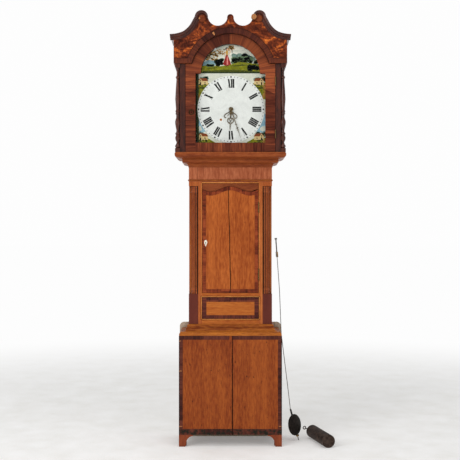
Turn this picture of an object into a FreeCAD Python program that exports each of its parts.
import FreeCAD, Part
import math
import os

# Longcase clock. Millimetres. Origin: floor, wall plane and centre line. +X right, +Y to the wall, +Z up.
V = FreeCAD.Vector

# ---- case sizes -------------------------------------------------------------
BOARD = 15.0            # case board thickness
FOOT_H = 58.7           # bracket feet height = bottom edge of the base
BASE_HALF = 254.0
BASE_FRONT = -245.0
BASE_TOP = 547.0
TRUNK_HALF = 207.0
TRUNK_FRONT = -200.0
TRUNK_BOT = 598.0
FRIEZE_BOT = 1310.0
HOOD_SEAT = 1447.5      # top of the moulding that carries the hood
OPEN_HALF = 141.2       # trunk door opening
DOOR_HALF = 139.5       # trunk door
DOOR_BOT = 756.0
DOOR_CORNER = 1269.0
DOOR_DIP = 1258.0
DOOR_PEAK = 1285.0
DOOR_BACK = TRUNK_FRONT + 16.0
COL_IN = 160.0          # inner edge of the corner recess
COL_DEPTH = 40.0        # its depth behind the trunk front
COL_R = 36.0
TRUNK_HINGES = ((819, 875), (1156, 1207))    # heights of the two trunk door hinges
PIN_X, PIN_R = 140.6, 2.8
# ---- hood sizes -------------------------------------------------------------
HOOD_HALF = 262.0
HOOD_FRONT = -256.0     # hood door front
HDOOR_HALF = 220.6
HDOOR_BACK = -240.0
GLAZE_HALF = 171.8
GLAZE_BOT = 1498.0
SHOULDER = 1838.4       # springing of the arches
GLAZE_R = 145.4
HDOOR_R = 194.0
HDOOR_SHO = 1886.0
TYMP_BOT = 1888.0
TYMP_HALF = 278.6
TYMP_FRONT = -266.0
TYMP_BACK = -251.0
HOOD_TOP = 2008.0
SCROLL_X, SCROLL_Z, SCROLL_R = 142.0, 2111.0, 32.0
# ---- movement ---------------------------------------------------------------
CX, CZ = 3.0, 1666.0    # hand centre
DIAL_HALF = 170.5
DIAL_FRONT = -224.0
FP_FRONT, FP_BACK = -196.0, -193.0      # front plate
BP_FRONT, BP_BACK = -133.0, -130.0      # back plate
PLATE_HALF, PLATE_LOW, PLATE_HIGH = 66.0, -140.0, 76.0
SEAT_T = 16.0
WIND = (-50.0, -51.6)   # winding arbor from the hand centre
MIN_WHEEL = 31.2        # distance of the minute wheel from the hand centre
THIRD = (27.39, 23.36)
ESCAPE = (0.0, 37.0)
ESC_R = 20.0
ANCHOR = (0.0, 65.3)
SEAT_TOP = CZ + PLATE_LOW


def box(x0, x1, y0, y1, z0, z1):
    return Part.makeBox(x1 - x0, y1 - y0, z1 - z0, V(x0, y0, z0))


def poly(points, y0, y1):
    """A polygon in X and Z, extruded from y0 to y1."""
    wire = Part.makePolygon([V(x, y0, z) for x, z in points] + [V(points[0][0], y0, points[0][1])])
    return Part.Face(wire).extrude(V(0, y1 - y0, 0))


def plan(points, z0, z1):
    """A polygon in X and Y, extruded from z0 to z1."""
    wire = Part.makePolygon([V(x, y, z0) for x, y in points] + [V(points[0][0], points[0][1], z0)])
    return Part.Face(wire).extrude(V(0, 0, z1 - z0))


def rod(x, z, r, y0, y1):
    """A round bar along Y."""
    return Part.makeCylinder(r, y1 - y0, V(x, y0, z), V(0, 1, 0))


def flip(shape):
    return shape.mirror(V(0, 0, 0), V(1, 0, 0))


def pair(shape):
    """The shape on the right, with its mirror image on the left."""
    return Part.makeCompound([shape, flip(shape)])


def turned(points, x, y):
    """A turning about a vertical axis through x, y. points are (radius, height)."""
    pts = [V(x, y, points[0][1])] + [V(x + r, y, z) for r, z in points] + [V(x, y, points[-1][1])]
    face = Part.Face(Part.makePolygon(pts + [pts[0]]))
    return face.revolve(V(x, y, 0), V(0, 0, 1), 360)


def mould(points, half, front, back):
    """A moulding mitred round the front and both sides. points are (projection, height)."""
    reach = max(p[0] for p in points) + 5
    bar = Part.Face(Part.makePolygon([V(-half - reach, front - p, z) for p, z in points]
                                     + [V(-half - reach, front - points[0][0], points[0][1])]))
    bar = bar.extrude(V(2 * (half + reach), 0, 0))
    z0, z1 = min(p[1] for p in points) - 1, max(p[1] for p in points) + 1
    bar = bar.common(plan([(-half - reach, front - reach), (half + reach, front - reach),
                           (half, front), (-half, front)], z0, z1))
    side = Part.Face(Part.makePolygon([V(half + p, front - reach, z) for p, z in points]
                                      + [V(half + points[0][0], front - reach, points[0][1])]))
    side = side.extrude(V(0, back - front + reach, 0))
    side = side.common(plan([(half, front), (half + reach, front - reach),
                             (half + reach, back), (half, back)], z0, z1))
    return Part.makeCompound([bar.Solids[0], side.Solids[0], flip(side.Solids[0])])


def arc(cx, cz, r, a0, a1, n):
    """Points on a circle; angles in degrees from +X toward +Z."""
    out = []
    for i in range(n + 1):
        a = math.radians(a0 + (a1 - a0) * i / n)
        out.append((cx + r * math.cos(a), cz + r * math.sin(a)))
    return out


def serpentine(x):
    """Height of the trunk door's top edge at x."""
    t = abs(x) / DOOR_HALF
    if t > 0.72:
        return DOOR_DIP + (DOOR_CORNER - DOOR_DIP) * ((t - 0.72) / 0.28) ** 1.5
    return DOOR_DIP + (DOOR_PEAK - DOOR_DIP) * (0.5 + 0.5 * math.cos(math.pi * t / 0.72))


def top_edge(half, drop, n=28):
    return [(half - 2 * half * i / n, serpentine(half - 2 * half * i / n) - drop) for i in range(n + 1)]


def save(name, shape):
    shape.exportStep("parts/" + name + ".step")


# ---- case -------------------------------------------------------------------
def backboard():
    ear, ear_top, corner, half = 262.0, 592.0, 22.0, TRUNK_HALF
    right = [(ear, 0)] + arc(ear - corner, ear_top - corner, corner, 0, 90, 8)
    right += [(half, ear_top), (half, HOOD_SEAT + 1), (243.0, HOOD_SEAT + 1), (243.0, HOOD_TOP - 4)]
    return poly(right + [(-x, z) for x, z in reversed(right)], -BOARD, 0)


def trunk_sides():
    s = box(TRUNK_HALF - BOARD, TRUNK_HALF, TRUNK_FRONT + COL_DEPTH + 12, -BOARD,
            BASE_TOP + 4, SEAT_TOP - SEAT_T)
    s = s.fuse(box(TRUNK_HALF - BOARD, TRUNK_HALF, DOOR_BACK, TRUNK_FRONT + COL_DEPTH + 12,
                   FRIEZE_BOT, HOOD_SEAT))
    return pair(s.removeSplitter())


def trunk_stiles():
    f, b = TRUNK_FRONT, TRUNK_FRONT + COL_DEPTH
    s = plan([(OPEN_HALF, f), (COL_IN, f), (COL_IN, b), (TRUNK_HALF, b), (TRUNK_HALF, b + 12),
              (148, b + 12), (148, DOOR_BACK), (OPEN_HALF, DOOR_BACK)], BASE_TOP + 4, FRIEZE_BOT)
    return pair(s)


def quarter_columns():
    x, y = COL_IN + 0.5, TRUNK_FRONT + COL_DEPTH - 0.5
    quarter = box(x, x + 60, y - 60, y, 700, 1300)
    c = Part.makeCylinder(COL_R, 1287 - 750, V(x, y, 750), V(0, 0, 1))
    for i in range(5):
        a = math.radians(-9 - 18 * i)
        c = c.cut(Part.makeCylinder(3.6, 470, V(x + COL_R * math.cos(a), y + COL_R * math.sin(a), 782), V(0, 0, 1)))
    for z in (750, 768, 1256, 1276):
        c = c.fuse(Part.makeCylinder(COL_R + 2.5, 9, V(x, y, z), V(0, 0, 1)))
    return pair(c.common(quarter))


def column_blocks():
    f, b = TRUNK_FRONT, TRUNK_FRONT + COL_DEPTH
    low = box(COL_IN, TRUNK_HALF, f, b, TRUNK_BOT + 2, 750)
    cap = box(COL_IN, TRUNK_HALF, f, b, 1287, FRIEZE_BOT)
    return Part.makeCompound([low, flip(low), cap, flip(cap)])


def frame(half, z0, z1, band_x, band_low, band_high, y0, y1):
    """A flat frame laid on the front of a panel."""
    outer = box(-half, half, y0, y1, z0, z1)
    return outer.cut(box(-half + band_x, half - band_x, y0 - 1, y1 + 1, z0 + band_low, z1 - band_high))


def lower_panel():
    return box(-OPEN_HALF, OPEN_HALF, TRUNK_FRONT, DOOR_BACK, BASE_TOP + 4, DOOR_BOT - 1.5)


def lower_panel_frame():
    bead = frame(146, 621.6, 738.5, 4, 4, 4, TRUNK_FRONT - 3, TRUNK_FRONT)
    band = frame(142, 625.6, 734.5, 22, 18, 23, TRUNK_FRONT - 1, TRUNK_FRONT)
    return bead.fuse(band)


def head_relief(x):
    """How far in from x to look for the door's height. The back of the door swings inward near its hinges."""
    reach = PIN_X - x
    thick = DOOR_BACK - TRUNK_FRONT
    return max(0.0, min(thick, thick * (3 * thick - reach) / (2 * thick)))


def door_head():
    gap = 1.5
    low = [(x, serpentine(min(DOOR_HALF, x + head_relief(x))) + gap) for x, _ in top_edge(OPEN_HALF, 0)]
    panel = poly([(-OPEN_HALF, 1303), (OPEN_HALF, 1303)] + low, TRUNK_FRONT + 3, DOOR_BACK)
    return panel.fuse(box(-OPEN_HALF, OPEN_HALF, TRUNK_FRONT, DOOR_BACK, 1302, FRIEZE_BOT)).removeSplitter()


def trunk_door():
    edge = top_edge(DOOR_HALF, 0)
    whole = poly([(-DOOR_HALF, DOOR_BOT), (DOOR_HALF, DOOR_BOT)] + edge, TRUNK_FRONT, DOOR_BACK)
    crack = poly([(-0.6, DOOR_BOT - 5), (0.6, DOOR_BOT - 5), (-9.4, 1295), (-10.6, 1295)],
                 TRUNK_FRONT - 5, DOOR_BACK + 5)
    return whole.cut(crack)


def trunk_door_banding():
    w = 17.5
    edge = top_edge(DOOR_HALF, 0)
    inner = top_edge(DOOR_HALF - w, w + 1)
    ring = poly([(-DOOR_HALF, DOOR_BOT), (DOOR_HALF, DOOR_BOT)] + edge, TRUNK_FRONT - 1, TRUNK_FRONT)
    ring = ring.cut(poly([(-DOOR_HALF + w, DOOR_BOT + w), (DOOR_HALF - w, DOOR_BOT + w)] + inner,
                         TRUNK_FRONT - 2, TRUNK_FRONT + 1))
    for z0, z1 in TRUNK_HINGES:
        ring = ring.cut(Part.makeCylinder(PIN_R + 0.15, z1 - z0 + 1, V(PIN_X, TRUNK_FRONT - PIN_R, z0 - 0.5)))
    return ring


def butt(x_edge, x_stile, x_pin, y_front, r, spans):
    """Butt hinges on a right-hand edge: (leaves on the door, leaves on the case)."""
    door, case = [], []
    y_pin = y_front - r
    for z0, z1 in spans:
        third = (z1 - z0) / 3
        for k, into in ((0, case), (1, door), (2, case)):
            into.append(Part.makeCylinder(r, third - 0.2, V(x_pin, y_pin, z0 + k * third + 0.1), V(0, 0, 1)))
        door.append(box(x_edge, x_edge + 0.75, y_front, y_front + 13, z0, z1))
        case.append(box(x_stile - 0.75, x_stile, y_front, y_front + 13, z0, z1))
        mid = z0 + third
        door.append(box(x_edge, x_edge + 0.75, y_pin, y_front, mid + 0.1, mid + third - 0.1))
        case.append(box(x_stile - 0.75, x_stile, y_pin, y_front, z0 + 0.1, mid - 0.1))
        case.append(box(x_stile - 0.75, x_stile, y_pin, y_front, mid + third + 0.1, z1 - 0.1))
    return [join(door), join(case)]


def join(shapes):
    out = shapes[0]
    for s in shapes[1:]:
        out = out.fuse(s)
    return out


def escutcheon():
    x, z0, h, w = -123.0, 985.0, 34.0, 8.25
    kite = [(x, z0), (x + w, z0 + h * 0.62), (x + w * 0.6, z0 + h * 0.92), (x, z0 + h),
            (x - w * 0.6, z0 + h * 0.92), (x - w, z0 + h * 0.62)]
    s = poly(kite, TRUNK_FRONT - 1, TRUNK_FRONT + 1)
    hole = rod(x, z0 + 21, 2.4, -210, -190).fuse(box(x - 1.1, x + 1.1, -210, -190, z0 + 11, z0 + 21))
    return s.cut(hole), hole


def lock():
    """The trunk lock's case behind the door, and its bolt drawn back inside."""
    y0, y1 = DOOR_BACK, DOOR_BACK + 14
    case = box(-136, -98, y0, y1, 978, 1032)
    case = case.cut(box(-137, -105, y0 + 3, y1 - 3, 996, 1014))
    bolt = box(-135.5, -112, y0 + 3.3, y1 - 3.3, 996.3, 1013.7)
    return case, bolt


def foot(front):
    """One bracket foot: a side piece, and on the front feet a front piece with a glued corner block."""
    top, low = 69.0, 32.0
    prof = [(0, 0), (low, 0), (low + 3, 12)]
    for i in range(1, 7):
        a = math.radians(90.0 * i / 6)
        prof.append((low + 3 + (top - low - 3) * (1 - math.cos(a)), 12 + (FOOT_H - 18) * math.sin(a)))
    prof += [(top, FOOT_H), (0, FOOT_H)]
    parts = []
    if front:
        parts.append(poly([(BASE_HALF - u, z) for u, z in prof], BASE_FRONT, BASE_FRONT + BOARD))
        parts.append(box(BASE_HALF - BOARD - 22, BASE_HALF - BOARD, BASE_FRONT + BOARD,
                         BASE_FRONT + BOARD + 22, 2, FOOT_H))
        y0, s = BASE_FRONT, 1
    else:
        y0, s = -BOARD, -1
    wire = Part.makePolygon([V(BASE_HALF - BOARD, y0 + s * u, z) for u, z in prof + prof[:1]])
    parts.append(Part.Face(wire).extrude(V(BOARD, 0, 0)))
    return join(parts)


def base_boards():
    front, back = BASE_FRONT, BASE_FRONT + BOARD
    left = box(-BASE_HALF, 9.0, front, back, FOOT_H, BASE_TOP)
    right = box(10.6, BASE_HALF, front, back, FOOT_H, BASE_TOP)
    return Part.makeCompound([left, right])


def base_banding():
    ring = frame(BASE_HALF, FOOT_H, BASE_TOP, 19, 28.3, 19, BASE_FRONT - 1, BASE_FRONT)
    gap = box(-5, 10.6, BASE_FRONT - 2, BASE_FRONT + 1, 500, BASE_TOP + 1)
    return ring.cut(gap).cut(box(9, 10.6, BASE_FRONT - 2, BASE_FRONT + 1, 50, 100))


def base_moulding():
    out, edge, round_r, hollow_w, hollow_h = 46.0, BASE_TOP + 6, 12.0, 22.0, 14.0
    pts = [(0, BASE_TOP), (out, BASE_TOP)] + arc(out - round_r, edge, round_r, 0, 90, 6)
    for i in range(1, 7):
        a = math.radians(90.0 * i / 6)
        pts.append((out - round_r - hollow_w * math.sin(a), edge + round_r + hollow_h * (1 - math.cos(a))))
    pts += [(12, 582), (8, 584), (8, TRUNK_BOT - 1), (0, TRUNK_BOT + 2)]
    return mould(pts, TRUNK_HALF, TRUNK_FRONT, -BOARD)


def hood_moulding():
    pts = [(0, 1381), (2.5, 1381), (2.5, 1386)]
    for i in range(1, 7):
        a = math.radians(90.0 * i / 6)
        pts.append((2.5 + 18.5 * (1 - math.cos(a)), 1386 + 14 * math.sin(a)))
    pts += [(31, 1403), (31, 1419), (46, 1424)]
    for i in range(1, 5):
        a = math.radians(90.0 * i / 4)
        pts.append((46 + 21 * math.sin(a), 1424 + 13 * (1 - math.cos(a))))
    pts += [(67, HOOD_SEAT), (0, HOOD_SEAT)]
    return mould(pts, TRUNK_HALF, TRUNK_FRONT, -BOARD)


# ---- hood -------------------------------------------------------------------
def hood_base():
    z0, z1, f = HOOD_SEAT, HOOD_SEAT + 3.5, -264.0
    bar = box(-HOOD_HALF - 9, HOOD_HALF + 9, f, -226, z0, z1)
    side = box(TRUNK_HALF + 3, HOOD_HALF + 9, -226, -BOARD - 2, z0, z1)
    return Part.makeCompound([bar, side, flip(side)])


def mask():
    y0, y1, z0 = -238.0, -232.5, HOOD_SEAT + 3.5
    half, low, r = GLAZE_HALF + 1.2, GLAZE_BOT - 1.2, GLAZE_R + 1.5
    rail = box(-HOOD_HALF, HOOD_HALF, y0, y1, z0, low)
    stile = box(half, HOOD_HALF, y0, y1, low, SHOULDER)
    head = poly([(-HOOD_HALF, SHOULDER), (HOOD_HALF, SHOULDER), (HOOD_HALF, HOOD_TOP)]
                + arc(0, SHOULDER, 196.0, 60, 120, 12) + [(-HOOD_HALF, HOOD_TOP)], y0, y1)
    head = head.cut(rod(0, SHOULDER, r, y0 - 1, y1 + 1))
    post = box(HDOOR_HALF + 1.9, HOOD_HALF - 14, TYMP_BACK, y0, z0, TYMP_BOT)
    return Part.makeCompound([rail, stile, flip(stile), head, post, flip(post)])


def hood_sides():
    return pair(box(HOOD_HALF - BOARD, HOOD_HALF, -232.5, -BOARD - 2, HOOD_SEAT + 3.5, HOOD_TOP))


def hood_returns():
    return pair(box(HOOD_HALF, TYMP_HALF, TYMP_BACK, -BOARD - 2, TYMP_BOT, HOOD_TOP))


def hood_roof():
    return box(-HOOD_HALF, HOOD_HALF, -232.5, -BOARD - 2, HOOD_TOP, HOOD_TOP + 8)


def hood_column():
    z0, z1, y = HOOD_SEAT + 3.5, TYMP_BOT, -250.5
    x = 260.0
    prof = [(5, z0 + 20), (9, 1473), (12, 1478), (12, 1484), (8, 1490), (5, 1500), (10, 1512), (12, 1522),
            (8, 1536), (11, 1540), (11, 1545), (7, 1550), (6, 1560), (9, 1575), (12, 1592), (12, 1604),
            (7, 1622), (7, 1635), (11, 1640), (8, 1646), (11, 1651), (8, 1660), (8.5, 1672), (11.5, 1712),
            (9, 1760), (5.5, 1812), (9, 1816), (9, 1822), (4.7, 1828), (4.7, 1850), (8, 1857), (8, z1 - 22)]
    s = turned(prof, x, y)
    for a, b in ((z0, z0 + 20), (z1 - 22, z1)):
        s = s.fuse(box(x - 12, x + 12, y - 12, y + 12, a, b))
    return s


def neck_line(n=16):
    """Upper edge of the right-hand swan neck, from the outer tip to the scroll."""
    p = [(297, 2026), (262, 2030), (228, 2042), (200, 2068), (184, 2095), (175, 2113)]
    curve = Part.BSplineCurve()
    curve.interpolate([V(x, 0, z) for x, z in p])
    a, b = curve.FirstParameter, curve.LastParameter
    out = []
    for i in range(n + 1):
        q = curve.value(a + (b - a) * i / n)
        out.append((q.x, q.z))
    return out


def tympanum():
    neck = [p for p in neck_line() if p[0] < TYMP_HALF - 2]
    right = [(TYMP_HALF, TYMP_BOT), (TYMP_HALF, neck[0][1] - 6)]
    right += [(x, z - 4) for x, z in neck]
    right += arc(SCROLL_X, SCROLL_Z, SCROLL_R - 1, 12, 178, 14)
    right += arc(62, 2120, 49, -12, -152, 14)
    right += [(16, 2106)] + arc(0, 2112, 16, 0, 80, 7)
    left = [(-x, z) for x, z in reversed(right)]
    cut = arc(0, SHOULDER, HDOOR_R + 3, 180 - 14.6, 14.6, 24)
    return poly(right + left + [(p[0], p[1]) for p in cut], TYMP_FRONT, TYMP_BACK)


def tympanum_band():
    """Crossbanding along the bottom edge and round the arch."""
    y0, y1, r = TYMP_FRONT - 1, TYMP_FRONT, HDOOR_R + 3
    s = box(-TYMP_HALF, TYMP_HALF, y0, y1, TYMP_BOT, TYMP_BOT + 24)
    s = s.fuse(rod(0, SHOULDER, r + 26, y0, y1)).cut(rod(0, SHOULDER, r, y0 - 1, y1 + 1))
    return s.common(box(-TYMP_HALF, TYMP_HALF, y0, y1, TYMP_BOT, 2100)).removeSplitter()


def cornice():
    """Swan-neck mouldings on the front, and straight returns along the sides."""
    up = neck_line()
    width, proud = 20, 20
    inner = []
    for i, (x, z) in enumerate(up):
        a, b = up[max(i - 1, 0)], up[min(i + 1, len(up) - 1)]
        tx, tz = b[0] - a[0], b[1] - a[1]
        n = math.hypot(tx, tz)
        inner.append((x - width * tz / n, z + width * tx / n))
    necks = poly(up + list(reversed(inner)), TYMP_FRONT - proud, TYMP_FRONT)
    disc = rod(SCROLL_X, SCROLL_Z, SCROLL_R, TYMP_FRONT - proud, TYMP_FRONT)
    neck = necks.fuse(disc).removeSplitter()
    side = [(0, HOOD_TOP), (5, HOOD_TOP), (9, HOOD_TOP + 6), (18.4, HOOD_TOP + 14), (18.4, HOOD_TOP + 18),
            (0, HOOD_TOP + 18)]
    ret = Part.Face(Part.makePolygon([V(TYMP_HALF + p, TYMP_FRONT, z) for p, z in side + side[:1]]))
    ret = ret.extrude(V(0, -BOARD - 2 - TYMP_FRONT, 0))
    rest = box(TYMP_HALF - 16, TYMP_HALF, TYMP_BACK, -BOARD - 2, HOOD_TOP, HOOD_TOP + 18)
    ret = ret.fuse(rest).removeSplitter()
    return Part.makeCompound([neck, flip(neck), ret, flip(ret)])


def arched(half, low, shoulder, r, y0, y1):
    """A flat-bottomed board with square shoulders and a round arched head."""
    return box(-half, half, y0, y1, low, shoulder).fuse(
        rod(0, SHOULDER, r, y0, y1).common(box(-half, half, y0, y1, SHOULDER - 10, SHOULDER + r + 1)))


def hood_door():
    y0, y1 = HOOD_FRONT, HDOOR_BACK
    low = HOOD_SEAT + 4.5
    d = arched(HDOOR_HALF, low, HDOOR_SHO, HDOOR_R, y0, y1)
    d = d.cut(arched(GLAZE_HALF, GLAZE_BOT, SHOULDER, GLAZE_R, y0 - 1, y1 + 1))
    d = d.cut(arched(GLAZE_HALF + 6, GLAZE_BOT - 6, SHOULDER + 6, GLAZE_R + 6, y0 + 7, y1 + 1))
    d = d.cut(rod(-192, 1648, 3.2, y0 - 1, y1 + 1))
    out = []
    for keep in (box(-300, 300, -300, -200, 1400, GLAZE_BOT - 6),
                 box(-300, 0, -300, -200, GLAZE_BOT - 6, SHOULDER), box(0, 300, -300, -200, GLAZE_BOT - 6, SHOULDER),
                 box(-300, 300, -300, -200, SHOULDER, 2100)):
        out += d.common(keep).Solids
    return Part.makeCompound(out)


def hood_glass():
    y0 = HOOD_FRONT + 7
    return arched(GLAZE_HALF + 5.8, GLAZE_BOT - 5.8, SHOULDER + 5.8, GLAZE_R + 5.8, y0, y0 + 2)


def ring_escutcheon():
    return rod(-192, 1648, 13, HOOD_FRONT - 1.5, HOOD_FRONT).cut(rod(-192, 1648, 9, HOOD_FRONT - 3, HOOD_FRONT + 1))


# ---- movement ---------------------------------------------------------------
def gear(teeth, module, cx, cz, toward, gap, y0, y1):
    """A spur wheel. toward is the mate's direction in degrees clockwise from up; gap puts a space there."""
    alpha = math.radians(25)
    r = teeth * module / 2
    rb, ra, rr = r * math.cos(alpha), r + 0.75 * module, r - 1.05 * module
    thick = (math.pi * module / 2 - 0.16 * module) / (2 * r)
    inv = math.tan(alpha) - alpha
    pts = []
    for k in range(teeth):
        mid = math.radians(toward) + 2 * math.pi * (k + (0.5 if gap else 0)) / teeth
        flank = []
        for rho in sorted(set([rr, max(rr, rb * 1.001), r, ra])):
            at = math.acos(min(1.0, rb / rho)) if rho > rb else 0.0
            flank.append((rho, thick + inv - (math.tan(at) - at)))
        for rho, h in flank:
            pts.append((cx + rho * math.sin(mid - h), cz + rho * math.cos(mid - h)))
        for rho, h in reversed(flank):
            pts.append((cx + rho * math.sin(mid + h), cz + rho * math.cos(mid + h)))
    return poly(pts, y0, y1)


def bearing(dx, dz):
    """Direction, in degrees clockwise from up."""
    return math.degrees(math.atan2(dx, dz))


GREAT_T, CENTRE_P, CENTRE_T, THIRD_P, THIRD_T, ESC_P, ESC_T = 96, 8, 64, 8, 60, 8, 30
CANNON_T, MINUTE_T, MINUTE_P, HOUR_T = 40, 40, 8, 96
M_GREAT = 2 * math.hypot(*WIND) / (GREAT_T + CENTRE_P)
M_CENTRE = 2 * math.hypot(*THIRD) / (CENTRE_T + THIRD_P)
M_THIRD = 2 * math.hypot(ESCAPE[0] - THIRD[0], ESCAPE[1] - THIRD[1]) / (THIRD_T + ESC_P)
M_CANNON = 2 * MIN_WHEEL / (CANNON_T + MINUTE_T)
M_HOUR = 2 * MIN_WHEEL / (HOUR_T + MINUTE_P)
PIVOT = 1.6             # arbor ends in the plates
RUN = 0.05              # radial running clearance


def at(p):
    return CX + p[0], CZ + p[1]


def plates():
    holes = [(0, 0, 2.6), (WIND[0], WIND[1], 4.5)]
    holes += [(p[0], p[1], PIVOT) for p in (THIRD, ESCAPE)] + [(ANCHOR[0], ANCHOR[1], 2.5)]
    out = []
    for y0, y1 in ((FP_FRONT, FP_BACK), (BP_FRONT, BP_BACK)):
        s = box(CX - PLATE_HALF, CX + PLATE_HALF, y0, y1, CZ + PLATE_LOW, CZ + PLATE_HIGH)
        for dx, dz, r in holes:
            s = s.cut(rod(CX + dx, CZ + dz, r + RUN, y0 - 1, y1 + 1))
        out.append(s)
    return out


def pillars():
    out = []
    for dx in (-58, 58):
        for dz in (-130, 66):
            x, z = CX + dx, CZ + dz
            s = rod(x, z, 5, FP_BACK, BP_FRONT)
            for y in (FP_BACK, -176, -165, -154, BP_FRONT - 4):
                s = s.fuse(rod(x, z, 7.5, y, y + 4))
            out.append(s)
    return Part.makeCompound(out)


def back_cock():
    x, z = at(ANCHOR)
    foot_r = box(x + 12, x + 26, BP_BACK, BP_BACK + 3, z - 16, z + 6)
    arm = box(x + 12, x + 16, BP_BACK + 3, -100, z - 12, z + 6)
    bridge = box(x - 16, x + 16, -103, -99, z - 12, z + 6)
    s = join([foot_r, arm, box(x - 16, x - 12, BP_BACK + 3, -100, z - 12, z + 6),
              box(x - 26, x - 12, BP_BACK, BP_BACK + 3, z - 16, z + 6), bridge])
    nib = box(x - 6, x + 6, -99, -88, z - 10, z - 4).cut(box(x - 0.7, x + 0.7, -97, -87, z - 11, z))
    return s.cut(rod(x, z, PIVOT + RUN, -104, -98)).fuse(nib)


def dial():
    y0, y1 = DIAL_FRONT, DIAL_FRONT + 2
    s = box(CX - DIAL_HALF, CX + DIAL_HALF, y0, y1, CZ - DIAL_HALF, SHOULDER + 4)
    s = s.fuse(rod(CX, SHOULDER, 147.5, y0, y1).common(box(-300, 300, y0, y1, SHOULDER, 2050)))
    s = s.cut(rod(CX, CZ, 7, y0 - 1, y1 + 1)).cut(rod(CX + WIND[0], CZ + WIND[1], 5, y0 - 1, y1 + 1))
    for dx in (-50, 50):
        for dz in (-118, 52):
            s = s.fuse(rod(CX + dx, CZ + dz, 3, y1, FP_FRONT))
    return s.removeSplitter()


def great_wheel():
    x, z = at(WIND)
    w = gear(GREAT_T, M_GREAT, x, z, bearing(-WIND[0], -WIND[1]), False, -146, -143)
    w = w.cut(rod(x, z, 4 + RUN, -150, -140))
    click = poly([(x - 34, z + 18), (x - 16, z + 25), (x - 13.2, z + 22), (x - 30, z + 10)], -150, -146)
    return w.fuse(click)


def barrel():
    x, z = at(WIND)
    s = rod(x, z, 22, -188, -151).fuse(rod(x, z, 25, -190.5, -187)).fuse(rod(x, z, 4, -194, BP_BACK))
    s = s.fuse(rod(x, z, 4.5, FP_FRONT - 1, -190)).fuse(box(x - 2.8, x + 2.8, -222, FP_FRONT, z - 2.8, z + 2.8))
    teeth = []
    for k in range(24):
        a, b = math.radians(15 * k), math.radians(15 * k + 13)
        teeth += [(x + 24.6 * math.sin(a), z + 24.6 * math.cos(a)), (x + 21.5 * math.sin(b), z + 21.5 * math.cos(b))]
    return s.fuse(poly(teeth, -151, -147))


def centre_arbor():
    s = rod(CX, CZ, 2.6, FP_FRONT, BP_BACK).fuse(rod(CX, CZ, 2.0, -236, FP_FRONT))
    s = s.fuse(gear(CENTRE_P, M_GREAT, CX, CZ, bearing(*WIND), True, -150, -138))
    s = s.fuse(gear(CENTRE_T, M_CENTRE, CX, CZ, bearing(*THIRD), False, -160, -157.5))
    s = s.fuse(rod(CX, CZ, 9, -162, -156))
    return s.cut(rod(CX, CZ, 0.8, -236.5, -235.9))


def third_arbor():
    x, z = at(THIRD)
    d = (ESCAPE[0] - THIRD[0], ESCAPE[1] - THIRD[1])
    s = rod(x, z, PIVOT, FP_FRONT, BP_BACK)
    s = s.fuse(gear(THIRD_P, M_CENTRE, x, z, bearing(-THIRD[0], -THIRD[1]), True, -163, -154))
    return s.fuse(gear(THIRD_T, M_THIRD, x, z, bearing(*d), False, -174, -171.5))


def escape_arbor():
    x, z = at(ESCAPE)
    d = (THIRD[0] - ESCAPE[0], THIRD[1] - ESCAPE[1])
    s = rod(x, z, PIVOT, FP_FRONT, BP_BACK)
    s = s.fuse(gear(ESC_P, M_THIRD, x, z, bearing(*d), True, -177, -168))
    pts = []
    for k in range(ESC_T):
        for da, r in ((0, ESC_R), (1.2, ESC_R), (3.2, ESC_R - 4.5), (10.5, ESC_R - 4.5)):
            a = math.radians(360.0 * k / ESC_T + da)
            pts.append((x + r * math.sin(a), z + r * math.cos(a)))
    return s.fuse(poly(pts, -184, -182))


def anchor():
    """Recoil anchor, its arbor and the crutch. The pallets stand just outside the teeth's circle."""
    x, z = at(ANCHOR)
    ex, ez = at(ESCAPE)
    s = rod(x, z, 2.0, FP_FRONT + 0.2, BP_BACK).fuse(rod(x, z, PIVOT, BP_BACK - 1, -99))
    s = s.fuse(rod(x, z, 5, -187, -179))
    arm = []
    for sx in (-1, 1):
        a = math.radians(47)
        px, pz = ex + sx * (ESC_R + 1.3) * math.sin(a), ez + (ESC_R + 1.3) * math.cos(a)
        arm.append(poly([(x, z + 4), (x + sx * 14, z - 1), (px + sx * 5.5, pz + 2), (px, pz),
                         (px + sx * 0.8, pz + 4), (x + sx * 9, z - 4), (x, z - 3)], -185, -181))
    s = s.fuse(arm[0]).fuse(arm[1])
    s = s.fuse(rod(x, z, 5, -124, -118)).fuse(box(x - 1.5, x + 1.5, -123, -120, z - 150, z - 3))
    s = s.fuse(box(x - 1.5, x + 1.5, -120, -90, z - 150, z - 147))
    return s


def motion_work():
    a = 135.0
    mx, mz = CX + MIN_WHEEL * math.sin(math.radians(a)), CZ + MIN_WHEEL * math.cos(math.radians(a))
    cannon = gear(CANNON_T, M_CANNON, CX, CZ, a, False, -202, -200)
    cannon = cannon.fuse(rod(CX, CZ, 3.5, -233.5, -199)).cut(rod(CX, CZ, 2 + RUN, -240, -190))
    minute = gear(MINUTE_T, M_CANNON, mx, mz, a + 180, True, -202, -200)
    minute = minute.fuse(gear(MINUTE_P, M_HOUR, mx, mz, a + 180, False, -209, -202))
    minute = minute.cut(rod(mx, mz, 1.2 + RUN, -215, -190))
    hour = gear(HOUR_T, M_HOUR, CX, CZ, a, True, -208, -206)
    hour = hour.fuse(rod(CX, CZ, 5.5, -229, -204)).cut(rod(CX, CZ, 3.5 + RUN, -240, -190))
    stud = rod(mx, mz, 1.2, -211, FP_FRONT)
    return cannon, minute, hour, stud


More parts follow.
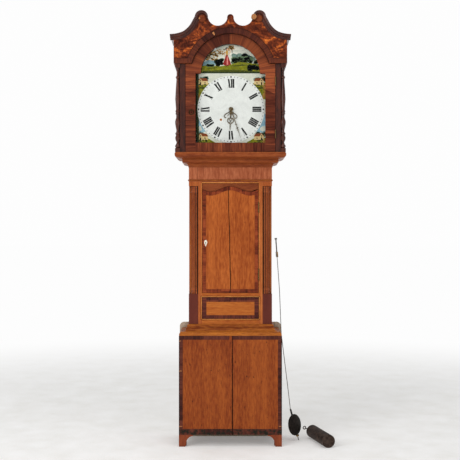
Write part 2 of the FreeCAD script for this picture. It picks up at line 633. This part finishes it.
def hand(blades, rings, degrees, y0, y1, bore):
    """A pierced hand drawn pointing up, then turned clockwise. rings are (height, radius, hole)."""
    s = rod(CX, CZ, 10, y0, y1)
    for v, r, hole in rings:
        s = s.fuse(rod(CX, CZ + v, r, y0, y1))
    for outline in blades:
        s = s.fuse(poly([(CX + u, CZ + v) for u, v in outline], y0, y1))
    for v, r, hole in rings:
        s = s.cut(rod(CX, CZ + v, hole, y0 - 1, y1 + 1))
    s = s.cut(rod(CX, CZ, bore, y0 - 1, y1 + 1)).removeSplitter()
    s.rotate(V(CX, 0, CZ), V(0, 1, 0), degrees)
    return s


def hands():
    wing = [(0.5, 22), (14, 30), (27, 27), (33, 36), (26, 44), (27, 36), (14, 38), (0.5, 34)]
    hour_blades = [[(-3, 0), (3, 0), (2.2, 44), (-2.2, 44)], [(-3, 70), (3, 70), (0.6, 105), (-0.6, 105)],
                   wing, [(-u, v) for u, v in reversed(wing)]]
    hour = hand(hour_blades, ((57, 15, 8),), 183, -228.5, -227, 5.5)
    minute_blades = [[(-2.8, 0), (2.8, 0), (1.8, 74), (-1.8, 74)], [(-1.6, 84), (1.6, 84), (1.6, 103), (-1.6, 103)],
                     [(-1.8, 113), (1.8, 113), (0.5, 151), (-0.5, 151)]]
    minute = hand(minute_blades, ((79, 6.5, 3), (108, 6.5, 3), (93.5, 3.5, 1)), 161.6, -233, -231.5, 3.5)
    return minute, hour


# ---- pendulum and weight ------------------------------------------------------
# x and z of the points where the bowed rod bends; it just clears the corner of the base
PEND_BOW = ((289.5, 281.0), (263.2, 491.0), (BASE_HALF + 2.3, BASE_TOP), (246.6, 767.0), (233.8, 937.0))


def pend_point(x, z):
    return V(x, -109.0 - 0.066 * z, z)


def bar(a, b, r):
    return Part.makeCylinder(r, (b - a).Length, a, b - a)


ROD_R = 1.8
TIP = V(347.0, -107.0, 1.5)
BOB = V(326.0, -112.0, 80.0)


def pendulum():
    axis = BOB - TIP
    axis.normalize()
    top = TIP + axis * 168.0
    pts = [top] + [pend_point(x, z) for x, z in PEND_BOW]
    bends = [Part.makeSphere(ROD_R, p) for p in pts[1:-1]]
    rod_s = join([bar(a, b, ROD_R) for a, b in zip(pts, pts[1:])] + bends)
    screw = bar(TIP, top, 2.4)
    end = pts[-1]
    up = (pts[-1] - pts[-2]).normalize()
    block = Part.makeBox(10, 6, 26, V(-5, -3, -4))
    spring = Part.makeBox(6, 0.4, 68, V(-3, -0.2, 20))
    head = Part.makeBox(12, 6, 8, V(-6, -3, 84))
    hang = block.fuse(spring).fuse(head)
    hang.Placement = FreeCAD.Placement(end, FreeCAD.Rotation(V(0, 0, 1), up))
    rod_all = rod_s.fuse(screw).fuse(hang)
    r, t = 53.5, 13.0      # the lens: radius and half thickness
    big = (r * r + t * t) / (2 * t)
    ball = Part.makeSphere(big, V(0, big - t, 0))
    lens = ball.common(Part.makeSphere(big, V(0, -big + t, 0)))
    lens.Placement = FreeCAD.Placement(BOB, FreeCAD.Rotation(V(0, 0, 1), axis).multiply(
        FreeCAD.Rotation(V(0, 0, 1), 50)))
    ferrule = bar(BOB + axis * 52.0, BOB + axis * 82.0, 4.5)
    lens = lens.fuse(ferrule).cut(bar(TIP, top + axis, 2.4 + RUN))
    nut = bar(TIP + axis * 21.5, TIP + axis * 27.5, 8).cut(bar(TIP, top, 2.4 + RUN))
    return rod_all, lens, nut


WEIGHT_R = 32.5
WEIGHT_NEAR = V(482.0, -272.0, WEIGHT_R)
WEIGHT_FAR = V(422.0, -44.0, WEIGHT_R)


def weight():
    s = bar(WEIGHT_NEAR, WEIGHT_FAR, WEIGHT_R)
    d = (WEIGHT_FAR - WEIGHT_NEAR).normalize()
    eye = WEIGHT_FAR + d * 8 + V(-33, 0, 14)
    s = s.fuse(bar(WEIGHT_FAR, WEIGHT_FAR + d * 8, 3)).fuse(bar(WEIGHT_FAR + d * 8, eye, 2.5))
    s = s.fuse(Part.makeSphere(3, WEIGHT_FAR + d * 8))
    return s.fuse(Part.makeTorus(7, 2.5, eye + V(-5, 0, 2), d))


def main():
    os.makedirs("parts", exist_ok=True)
    save("backboard", backboard())
    save("trunk_sides", trunk_sides())
    save("trunk_stiles", trunk_stiles())
    save("quarter_columns", quarter_columns())
    save("column_blocks", column_blocks())
    save("lower_panel", lower_panel())
    save("lower_panel_frame", lower_panel_frame())
    save("door_head", door_head())
    save("frieze", box(-TRUNK_HALF, TRUNK_HALF, TRUNK_FRONT, DOOR_BACK, FRIEZE_BOT, HOOD_SEAT))
    bead = [(0, 1312), (3, 1313), (4.5, 1316), (3, 1319), (0, 1320)]
    save("frieze_bead", mould(bead, TRUNK_HALF, TRUNK_FRONT, -BOARD))
    save("hood_moulding", hood_moulding())
    save("base_moulding", base_moulding())
    save("base_boards", base_boards())
    save("base_crossbanding", base_banding())
    save("base_sides", pair(box(BASE_HALF - BOARD, BASE_HALF, BASE_FRONT + BOARD, -BOARD, FOOT_H, BASE_TOP)))
    save("front_feet", pair(foot(True)))
    save("rear_feet", pair(foot(False)))

    door_cuts, keyhole = escutcheon()
    save("trunk_escutcheon", door_cuts)
    seat = box(door_cuts.BoundBox.XMin, door_cuts.BoundBox.XMax, TRUNK_FRONT - 1, TRUNK_FRONT + 1,
               door_cuts.BoundBox.ZMin, door_cuts.BoundBox.ZMax)
    solid_kite = door_cuts.fuse(keyhole.common(seat))
    save("trunk_door", trunk_door().cut(solid_kite).cut(keyhole))
    save("trunk_door_banding", trunk_door_banding().cut(solid_kite))
    leaves = butt(DOOR_HALF, OPEN_HALF, PIN_X, TRUNK_FRONT, PIN_R, TRUNK_HINGES)
    save("trunk_hinge_door", leaves[0])
    save("trunk_hinge_case", leaves[1])
    case, bolt = lock()
    save("trunk_lock", case.cut(rod(-123, 1006, 2.5, -190, -160)))
    save("trunk_bolt", bolt)

    save("hood_base", hood_base())
    save("hood_mask", mask())
    save("hood_sides", hood_sides())
    save("hood_returns", hood_returns())
    save("hood_roof", hood_roof())
    save("hood_columns", pair(hood_column()))
    save("tympanum", tympanum())
    save("tympanum_banding", tympanum_band())
    save("cornice", cornice())
    save("roundel", rod(SCROLL_X - 27, SCROLL_Z, 13, TYMP_FRONT - 26, TYMP_FRONT - 20))
    save("hood_door", hood_door())
    save("hood_glass", hood_glass())
    save("ring_escutcheon", ring_escutcheon())
    leaves = butt(HDOOR_HALF, HDOOR_HALF + 1.9, HDOOR_HALF + 0.95, HOOD_FRONT, 2.4, ((1520, 1562), (1780, 1822)))
    save("hood_hinge_door", leaves[0])
    save("hood_hinge_case", leaves[1])

    seatboard = box(-TRUNK_HALF, TRUNK_HALF, -205, -122, SEAT_TOP - SEAT_T, SEAT_TOP)
    wx = at(WIND)[0]
    save("seatboard", seatboard.cut(box(wx - 30, wx + 30, -190, -150, SEAT_TOP - 30, SEAT_TOP + 5)))
    front, back = plates()
    cannon, minute, hour, stud = motion_work()
    save("front_plate", front.fuse(stud))
    save("back_plate", back)
    save("pillars", pillars())
    save("back_cock", back_cock())
    save("dial", dial())
    save("great_wheel", great_wheel())
    save("barrel", barrel())
    save("centre_arbor", centre_arbor())
    save("third_arbor", third_arbor())
    save("escape_arbor", escape_arbor())
    save("anchor", anchor())
    save("cannon_wheel", cannon)
    save("minute_wheel", minute)
    save("hour_wheel", hour)
    minute_hand, hour_hand = hands()
    save("minute_hand", minute_hand)
    save("hour_hand", hour_hand)

    rod_all, lens, nut = pendulum()
    save("pendulum_rod", rod_all)
    save("pendulum_bob", lens)
    save("rating_nut", nut)
    save("weight", weight())


main()
